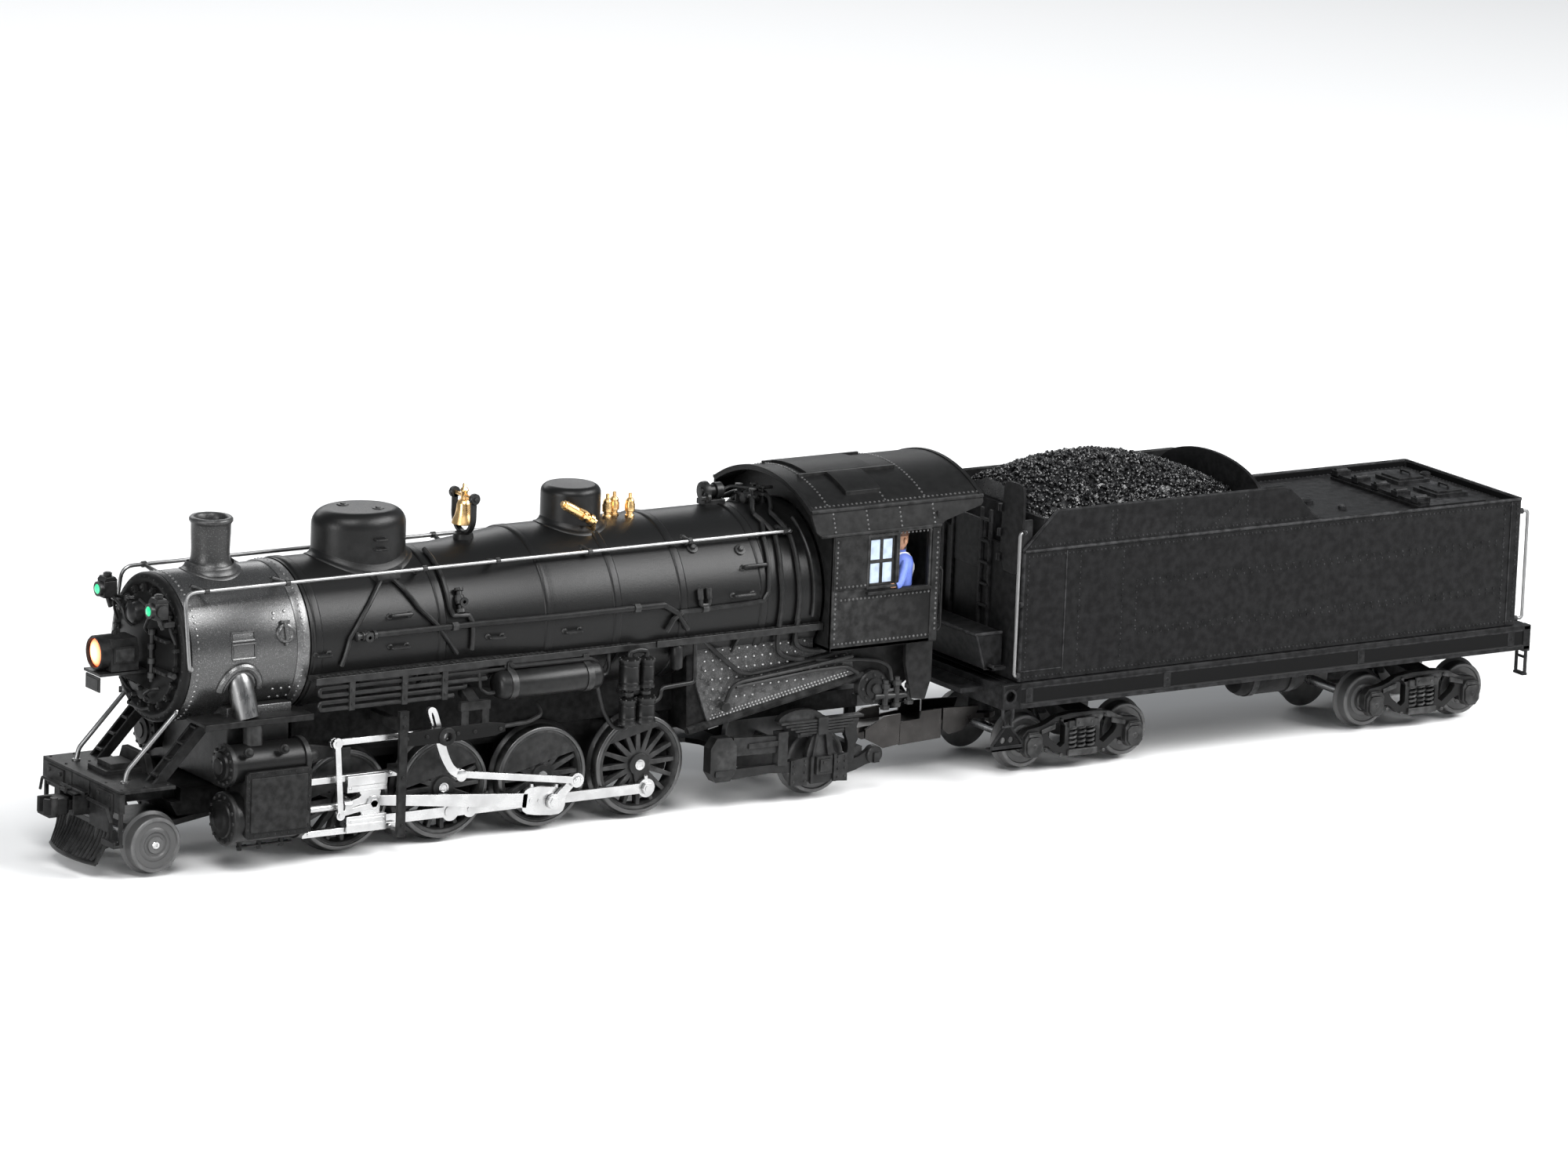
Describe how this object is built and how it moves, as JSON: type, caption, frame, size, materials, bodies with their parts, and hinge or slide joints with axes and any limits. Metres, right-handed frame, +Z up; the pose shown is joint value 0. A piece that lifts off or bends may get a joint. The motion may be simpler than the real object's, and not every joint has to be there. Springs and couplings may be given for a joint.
{
  "type": "model train",
  "caption": "O gauge model steam locomotive with coupled drivers, working rods and valve gear, an enclosed cab, and a tender with a coal load on swivelling trucks.",
  "frame": {"origin": "on the track centreline at rail-top height, half way between the front coupler and the rear knuckle, 113.4 mm behind the third (main) driving axle", "axes": "+X from the pilot towards the tender, +Z up, -Y is the left-hand side seen in the picture"},
  "size_m": [0.5565, 0.0664, 0.1076],
  "materials": {
    "satin_black": "satin black enamel on die-cast zinc",
    "tender_black": "eggshell black enamel",
    "graphite": "grainy graphite paint",
    "bright_steel": "bright plated steel with fine milling marks",
    "blackened_steel": "chemically blackened steel",
    "wheel_grey": "dark grey satin, tyre treads bare",
    "plain_wheel_grey": "mid grey satin",
    "brass": "polished brass",
    "lens": "warm lit lens",
    "coal": "crushed coal, broken facets",
    "figure": "painted figure",
    "circuit": "green solder mask",
    "speaker": "black paper cone and steel basket",
    "switch_plastic": "moulded black",
    "motor_steel": "plated motor can"
  },
  "bodies": {
    "locomotive": {"chassis_frame": "satin_black", "boiler_shell": "satin_black", "smokebox": "graphite", "smokebox_front": "satin_black", "smokestack": "graphite", "headlight": "satin_black", "headlight_lens": "lens", "bell_bracket": "satin_black", "cab": "satin_black", "engineer_figure": "figure", "running_board_left": "satin_black", "running_board_right": "satin_black", "pilot": "satin_black", "cylinder_block": "satin_black", "crosshead_guides": "bright_steel", "air_pump": "satin_black", "smoke_unit": "circuit", "motor": "motor_steel"},
    "bell": {"bell": "brass"},
    "front_coupler": {"front_coupler": "satin_black"},
    "motor_shaft": {"motor_shaft": "brass"},
    "driver_axle_1": {"driver_axle_1": "wheel_grey"},
    "driver_axle_2": {"driver_axle_2": "wheel_grey"},
    "driver_axle_3": {"driver_axle_3": "wheel_grey"},
    "driver_axle_4": {"driver_axle_4": "wheel_grey"},
    "side_rod_left": {"side_rod_left": "bright_steel"},
    "main_rod_left": {"main_rod_left": "bright_steel"},
    "eccentric_rod_left": {"eccentric_rod_left": "bright_steel"},
    "crosshead_left": {"crosshead_left": "bright_steel"},
    "expansion_link_left": {"expansion_link_left": "bright_steel"},
    "radius_rod_left": {"radius_rod_left": "bright_steel"},
    "combination_lever_left": {"combination_lever_left": "bright_steel"},
    "side_rod_right": {"side_rod_right": "bright_steel"},
    "main_rod_right": {"main_rod_right": "bright_steel"},
    "eccentric_rod_right": {"eccentric_rod_right": "bright_steel"},
    "crosshead_right": {"crosshead_right": "bright_steel"},
    "expansion_link_right": {"expansion_link_right": "bright_steel"},
    "radius_rod_right": {"radius_rod_right": "bright_steel"},
    "combination_lever_right": {"combination_lever_right": "bright_steel"},
    "pony_truck": {"pony_frame": "satin_black"},
    "pony_wheelset": {"pony_wheelset": "plain_wheel_grey"},
    "trailing_truck": {"trailing_frame": "satin_black"},
    "trailing_wheelset": {"trailing_wheelset": "plain_wheel_grey"},
    "pickup_arm": {"pickup_arm": "bright_steel"},
    "pickup_roller": {"pickup_roller": "bright_steel"},
    "drawbar": {"drawbar": "blackened_steel"},
    "tender": {"tender_shell": "tender_black", "tender_frame": "tender_black", "coal_load": "coal", "speaker": "speaker", "circuit_board": "circuit"},
    "truck_front": {"truck_frame_front": "wheel_grey"},
    "tender_wheelset_1": {"tender_wheelset_1": "plain_wheel_grey"},
    "tender_wheelset_2": {"tender_wheelset_2": "plain_wheel_grey"},
    "truck_rear": {"truck_frame_rear": "wheel_grey"},
    "tender_wheelset_3": {"tender_wheelset_3": "plain_wheel_grey"},
    "tender_wheelset_4": {"tender_wheelset_4": "plain_wheel_grey"},
    "rear_coupler": {"rear_coupler": "satin_black"},
    "rear_knuckle": {"rear_knuckle": "satin_black"},
    "sound_switch": {"sound_switch": "switch_plastic"}
  },
  "joints": [
    {"name": "driver_axle_1_spin", "type": "hinge", "parent": "locomotive", "child": "driver_axle_1", "pos_m": [-0.1843, 0, 0.01585], "axis": [0, 1, 0], "continuous": true},
    {"name": "driver_axle_2_spin", "type": "hinge", "parent": "locomotive", "child": "driver_axle_2", "pos_m": [-0.14885, 0, 0.01585], "axis": [0, 1, 0], "continuous": true},
    {"name": "driver_axle_3_spin", "type": "hinge", "parent": "locomotive", "child": "driver_axle_3", "pos_m": [-0.1134, 0, 0.01585], "axis": [0, 1, 0], "continuous": true},
    {"name": "driver_axle_4_spin", "type": "hinge", "parent": "locomotive", "child": "driver_axle_4", "pos_m": [-0.07795, 0, 0.01585], "axis": [0, 1, 0], "continuous": true},
    {"name": "motor_shaft_spin", "type": "hinge", "parent": "locomotive", "child": "motor_shaft", "pos_m": [-0.11862, 0, 0.0233], "axis": [0.8192, 0, 0.5736], "continuous": true},
    {"name": "side_rod_left_pin", "type": "hinge", "parent": "driver_axle_3", "child": "side_rod_left", "pos_m": [-0.11174, -0.02075, 0.00864], "axis": [0, 1, 0], "continuous": true},
    {"name": "main_rod_left_pin", "type": "hinge", "parent": "driver_axle_3", "child": "main_rod_left", "pos_m": [-0.11174, -0.0225, 0.00864], "axis": [0, 1, 0], "continuous": true},
    {"name": "eccentric_rod_left_pin", "type": "hinge", "parent": "driver_axle_3", "child": "eccentric_rod_left", "pos_m": [-0.1047, -0.0258, 0.0152], "axis": [0, 1, 0], "continuous": true},
    {"name": "crosshead_left_slide", "type": "slide", "parent": "locomotive", "child": "crosshead_left", "axis": [1, 0, 0], "range_m": [-0.0095, 0.0054]},
    {"name": "combination_lever_left_swing", "type": "hinge", "parent": "locomotive", "child": "combination_lever_left", "pos_m": [-0.1919, -0.028, 0.0362], "axis": [0, 1, 0], "range_deg": [-14.1, 24.5]},
    {"name": "radius_rod_left_slide", "type": "slide", "parent": "locomotive", "child": "radius_rod_left", "axis": [1, 0, 0], "range_m": [-0.001, 0.00059]},
    {"name": "expansion_link_left_swing", "type": "hinge", "parent": "locomotive", "child": "expansion_link_left", "pos_m": [-0.1547, -0.0274, 0.0352], "axis": [0, 1, 0], "range_deg": [-0.1, 66.4]},
    {"name": "side_rod_right_pin", "type": "hinge", "parent": "driver_axle_3", "child": "side_rod_right", "pos_m": [-0.10619, 0.02075, 0.01751], "axis": [0, 1, 0], "continuous": true},
    {"name": "main_rod_right_pin", "type": "hinge", "parent": "driver_axle_3", "child": "main_rod_right", "pos_m": [-0.10619, 0.0225, 0.01751], "axis": [0, 1, 0], "continuous": true},
    {"name": "eccentric_rod_right_pin", "type": "hinge", "parent": "driver_axle_3", "child": "eccentric_rod_right", "pos_m": [-0.11275, 0.0258, 0.02455], "axis": [0, 1, 0], "continuous": true},
    {"name": "crosshead_right_slide", "type": "slide", "parent": "locomotive", "child": "crosshead_right", "axis": [1, 0, 0], "range_m": [-0.0147, 0.0002]},
    {"name": "combination_lever_right_swing", "type": "hinge", "parent": "locomotive", "child": "combination_lever_right", "pos_m": [-0.1919, 0.028, 0.0362], "axis": [0, 1, 0], "range_deg": [-1, 37.6]},
    {"name": "radius_rod_right_slide", "type": "slide", "parent": "locomotive", "child": "radius_rod_right", "axis": [1, 0, 0], "range_m": [-0.00152, 0.00007]},
    {"name": "expansion_link_right_swing", "type": "hinge", "parent": "locomotive", "child": "expansion_link_right", "pos_m": [-0.1547, 0.0274, 0.0352], "axis": [0, 1, 0], "range_deg": [-31.1, 35.5]},
    {"name": "bell_swing", "type": "hinge", "parent": "locomotive", "child": "bell", "pos_m": [-0.1328, 0, 0.1024], "axis": [0, 1, 0], "range_deg": [-25, 25]},
    {"name": "front_coupler_swing", "type": "hinge", "parent": "locomotive", "child": "front_coupler", "pos_m": [-0.2608, 0, 0.0191], "axis": [0, 0, 1], "range_deg": [-8, 8]},
    {"name": "pony_truck_swivel", "type": "hinge", "parent": "locomotive", "child": "pony_truck", "pos_m": [-0.2134, 0, 0.012], "axis": [0, 0, 1], "range_deg": [-5, 5]},
    {"name": "pony_wheelset_spin", "type": "hinge", "parent": "pony_truck", "child": "pony_wheelset", "pos_m": [-0.2492, 0, 0.0086], "axis": [0, 1, 0], "continuous": true},
    {"name": "trailing_truck_swivel", "type": "hinge", "parent": "locomotive", "child": "trailing_truck", "pos_m": [-0.0574, 0, 0.0184], "axis": [0, 0, 1], "range_deg": [-5, 5]},
    {"name": "trailing_wheelset_spin", "type": "hinge", "parent": "trailing_truck", "child": "trailing_wheelset", "pos_m": [-0.0126, 0, 0.0106], "axis": [0, 1, 0], "continuous": true},
    {"name": "pickup_arm_lift", "type": "hinge", "parent": "locomotive", "child": "pickup_arm", "pos_m": [-0.1226, 0, 0.0088], "axis": [0, 1, 0], "range_deg": [-3, 3], "stiffness_Nm_per_rad": 0.01},
    {"name": "pickup_roller_spin", "type": "hinge", "parent": "pickup_arm", "child": "pickup_roller", "pos_m": [-0.1311, 0, 0.003], "axis": [0, 1, 0], "continuous": true},
    {"name": "drawbar_swing", "type": "hinge", "parent": "locomotive", "child": "drawbar", "pos_m": [0.0126, 0, 0.0142], "axis": [0, 0, 1], "range_deg": [-6, 6]},
    {"name": "tender_swing", "type": "hinge", "parent": "drawbar", "child": "tender", "pos_m": [0.0626, 0, 0.0142], "axis": [0, 0, 1], "range_deg": [-6, 6]},
    {"name": "truck_front_swivel", "type": "hinge", "parent": "tender", "child": "truck_front", "pos_m": [0.0864, 0, 0.016], "axis": [0, 0, 1], "range_deg": [-8, 8]},
    {"name": "tender_wheelset_1_spin", "type": "hinge", "parent": "truck_front", "child": "tender_wheelset_1", "pos_m": [0.0669, 0, 0.0086], "axis": [0, 1, 0], "continuous": true},
    {"name": "tender_wheelset_2_spin", "type": "hinge", "parent": "truck_front", "child": "tender_wheelset_2", "pos_m": [0.1059, 0, 0.0086], "axis": [0, 1, 0], "continuous": true},
    {"name": "truck_rear_swivel", "type": "hinge", "parent": "tender", "child": "truck_rear", "pos_m": [0.2216, 0, 0.016], "axis": [0, 0, 1], "range_deg": [-8, 8]},
    {"name": "tender_wheelset_3_spin", "type": "hinge", "parent": "truck_rear", "child": "tender_wheelset_3", "pos_m": [0.2021, 0, 0.0086], "axis": [0, 1, 0], "continuous": true},
    {"name": "tender_wheelset_4_spin", "type": "hinge", "parent": "truck_rear", "child": "tender_wheelset_4", "pos_m": [0.2411, 0, 0.0086], "axis": [0, 1, 0], "continuous": true},
    {"name": "rear_coupler_swing", "type": "hinge", "parent": "tender", "child": "rear_coupler", "pos_m": [0.2446, 0, 0.0185], "axis": [0, 0, 1], "range_deg": [-10, 10]},
    {"name": "rear_knuckle_open", "type": "hinge", "parent": "rear_coupler", "child": "rear_knuckle", "pos_m": [0.2731, -0.004, 0.0185], "axis": [0, 0, 1], "range_deg": [-35, 0]},
    {"name": "sound_switch_slide", "type": "slide", "parent": "tender", "child": "sound_switch", "axis": [1, 0, 0], "range_m": [0, 0.0024]}
  ],
  "couplings": [
    {"joint": "driver_axle_1_spin", "follows": "driver_axle_3_spin", "ratio": 1},
    {"joint": "driver_axle_2_spin", "follows": "driver_axle_3_spin", "ratio": 1},
    {"joint": "driver_axle_4_spin", "follows": "driver_axle_3_spin", "ratio": 1},
    {"joint": "motor_shaft_spin", "follows": "driver_axle_3_spin", "ratio": 20},
    {"joint": "side_rod_left_pin", "follows": "driver_axle_3_spin", "ratio": -1},
    {"joint": "main_rod_left_pin", "follows": "driver_axle_3_spin", "ratio": -1},
    {"joint": "eccentric_rod_left_pin", "follows": "driver_axle_3_spin", "ratio": -1},
    {"joint": "combination_lever_left_swing", "follows": "crosshead_left_slide", "rad_per_m": -44.053},
    {"joint": "radius_rod_left_slide", "follows": "crosshead_left_slide", "ratio": 0.1},
    {"joint": "side_rod_right_pin", "follows": "driver_axle_3_spin", "ratio": -1},
    {"joint": "main_rod_right_pin", "follows": "driver_axle_3_spin", "ratio": -1},
    {"joint": "eccentric_rod_right_pin", "follows": "driver_axle_3_spin", "ratio": -1},
    {"joint": "combination_lever_right_swing", "follows": "crosshead_right_slide", "rad_per_m": -44.053},
    {"joint": "radius_rod_right_slide", "follows": "crosshead_right_slide", "ratio": 0.1}
  ]
}
